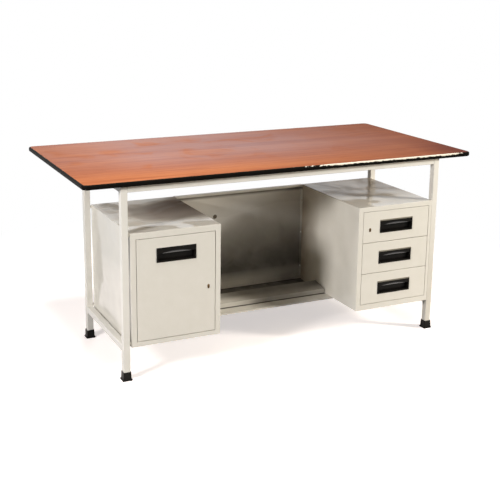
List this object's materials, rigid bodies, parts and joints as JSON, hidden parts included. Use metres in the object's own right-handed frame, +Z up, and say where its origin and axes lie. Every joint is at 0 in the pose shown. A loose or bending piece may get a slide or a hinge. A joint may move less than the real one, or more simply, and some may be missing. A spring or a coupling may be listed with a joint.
{
  "type": "workstation desk",
  "caption": "Steel office desk: wood-grain laminate top on a square-tube frame, with a hinged cupboard, a bank of drawers, a modesty panel and a sloping footrest.",
  "frame": {"origin": "on the floor under the middle of the tabletop", "axes": "+X to the right of someone sitting at the desk, +Y away from them, +Z up"},
  "size_m": [1.64, 0.8, 0.75],
  "materials": {
    "wood_grain_laminate": "semi-gloss red-brown wood-grain laminate",
    "particle_board": "raw particle board with a brown backing paper",
    "black_edging": "extruded black PVC, semi-gloss",
    "enamelled_steel": "stoved off-white gloss enamel on sheet and tube steel",
    "black_plastic": "moulded black plastic",
    "zinc_plated_steel": "bright zinc plating",
    "brass": "plain pressed brass"
  },
  "bodies": {
    "frame": {"base_tray": "enamelled_steel", "cupboard_back": "enamelled_steel", "cupboard_base": "enamelled_steel", "cupboard_front_frame": "enamelled_steel", "cupboard_shelf": "enamelled_steel", "cupboard_spacers": "enamelled_steel", "cupboard_wrap": "enamelled_steel", "drawer_runners_left": "zinc_plated_steel", "drawer_runners_right": "zinc_plated_steel", "drawer_unit_back": "enamelled_steel", "drawer_unit_base": "enamelled_steel", "drawer_unit_front_frame": "enamelled_steel", "drawer_unit_wrap": "enamelled_steel", "footrest": "enamelled_steel", "front_rail": "enamelled_steel", "left_lower_rail": "enamelled_steel", "left_rail": "enamelled_steel", "leg_front_left": "enamelled_steel", "leg_front_right": "enamelled_steel", "leg_rear_left": "enamelled_steel", "leg_rear_right": "enamelled_steel", "modesty_panel": "enamelled_steel", "modesty_plug": "black_plastic", "modesty_screws": "zinc_plated_steel", "rear_rail": "enamelled_steel", "right_lower_rail": "enamelled_steel", "right_rail": "enamelled_steel", "shelf_supports": "enamelled_steel", "shoe_front_left": "black_plastic", "shoe_front_right": "black_plastic", "shoe_rear_left": "black_plastic", "shoe_rear_right": "black_plastic", "tabletop_board": "particle_board", "tabletop_edging": "black_edging", "tabletop_laminate": "wood_grain_laminate", "tabletop_screws": "zinc_plated_steel", "tray_screws": "zinc_plated_steel"},
    "cupboard_door": {"door_handle_cup": "black_plastic", "door_hinge_pins": "zinc_plated_steel", "door_keyhole_plate": "brass", "door_lock_case": "zinc_plated_steel", "door_panel": "enamelled_steel"},
    "cupboard_bolt": {"door_lock_bolt": "brass"},
    "top_drawer": {"drawer_keyhole_plate": "brass", "drawer_lock_case": "zinc_plated_steel", "top_drawer_front": "enamelled_steel", "top_drawer_handle_cup": "black_plastic", "top_drawer_slides": "zinc_plated_steel", "top_drawer_tray": "enamelled_steel"},
    "middle_drawer": {"middle_drawer_front": "enamelled_steel", "middle_drawer_handle_cup": "black_plastic", "middle_drawer_slides": "zinc_plated_steel", "middle_drawer_tray": "enamelled_steel"},
    "bottom_drawer": {"bottom_drawer_front": "enamelled_steel", "bottom_drawer_handle_cup": "black_plastic", "bottom_drawer_slides": "zinc_plated_steel", "bottom_drawer_tray": "enamelled_steel"},
    "drawer_bolt": {"drawer_lock_bolt": "brass"}
  },
  "joints": [
    {"name": "door_swing", "type": "hinge", "parent": "frame", "child": "cupboard_door", "pos_m": [-0.6155, -0.372, 0.338], "axis": [0, 0, -1], "range_deg": [0, 105]},
    {"name": "door_bolt_throw", "type": "slide", "parent": "cupboard_door", "child": "cupboard_bolt", "axis": [1, 0, 0], "range_m": [0, 0.009]},
    {"name": "top_drawer_slide", "type": "slide", "parent": "frame", "child": "top_drawer", "axis": [0, -1, 0], "range_m": [0, 0.33]},
    {"name": "middle_drawer_slide", "type": "slide", "parent": "frame", "child": "middle_drawer", "axis": [0, -1, 0], "range_m": [0, 0.33]},
    {"name": "bottom_drawer_slide", "type": "slide", "parent": "frame", "child": "bottom_drawer", "axis": [0, -1, 0], "range_m": [0, 0.33]},
    {"name": "drawer_bolt_throw", "type": "slide", "parent": "top_drawer", "child": "drawer_bolt", "axis": [0, 0, 1], "range_m": [0, 0.009]}
  ]
}
